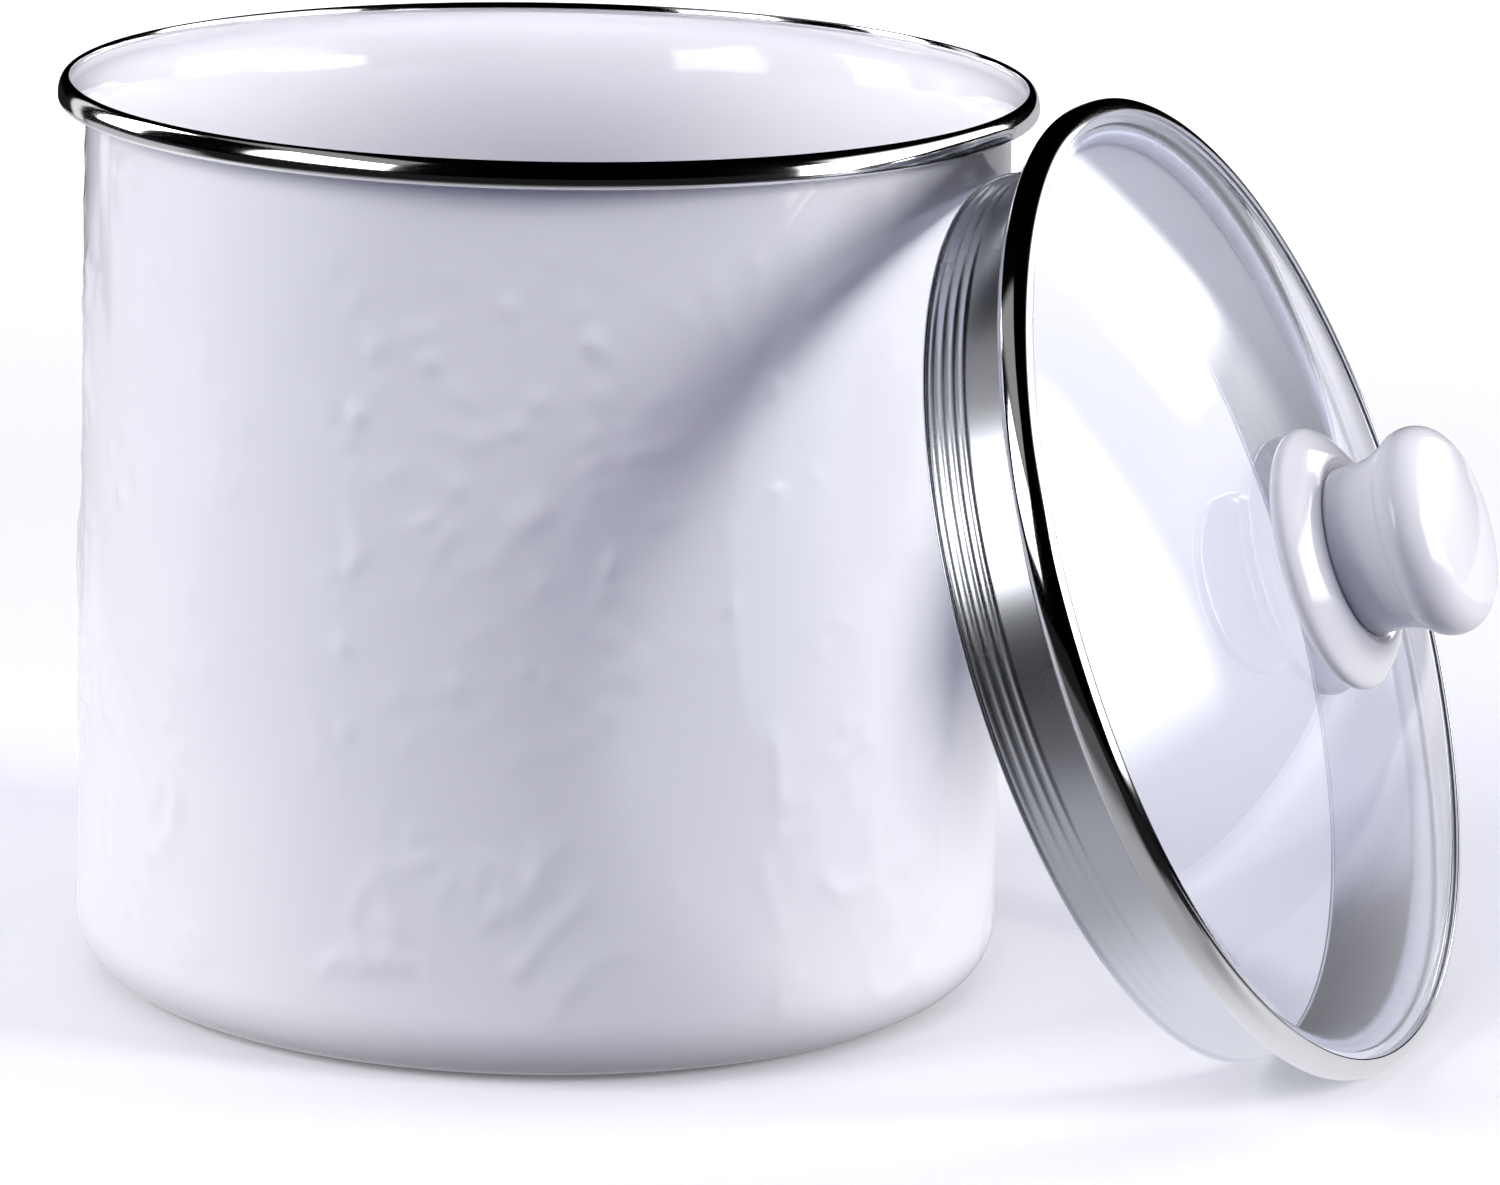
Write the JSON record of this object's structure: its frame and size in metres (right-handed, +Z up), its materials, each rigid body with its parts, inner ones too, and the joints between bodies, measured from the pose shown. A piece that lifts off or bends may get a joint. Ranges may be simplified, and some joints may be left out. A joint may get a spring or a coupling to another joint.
{
  "type": "enamel canister",
  "caption": "Round enamelled steel canister with a flared mouth and steel rim strip, and a domed glass lid with ribbed skirt and white knob leaning beside it.",
  "frame": {"origin": "centre of the canister's flat base, on the table that it stands on", "axes": "+Z up along the canister's axis; the lid leans against the wall on the +X side, turned 21 degrees towards -Y"},
  "size_m": [0.2635, 0.2244, 0.1711],
  "materials": {
    "white_enamel": "glossy white enamel with a faint raised swirl pattern",
    "polished_steel": "polished stainless steel",
    "clear_glass": "clear tempered glass",
    "silicone": "pale silicone",
    "white_knob": "glossy white",
    "plain_steel": "plain",
    "brass": "turned"
  },
  "bodies": {
    "canister": {"canister_body": "white_enamel", "canister_rim_trim": "polished_steel"},
    "lid": {"lid_trim": "polished_steel", "lid_glass": "clear_glass", "lid_seal": "silicone", "lid_skirt": "polished_steel", "knob_base_disc": "white_knob", "knob_grip": "white_knob", "knob_upper_gasket": "silicone", "knob_lower_gasket": "silicone", "knob_washer": "plain_steel", "knob_screw": "plain_steel", "knob_insert": "brass"}
  },
  "joints": [
    {"name": "lid_lift", "type": "slide", "parent": "canister", "child": "lid", "axis": [0.8623, -0.3554, 0.3608], "range_m": [0, 0.2]}
  ]
}
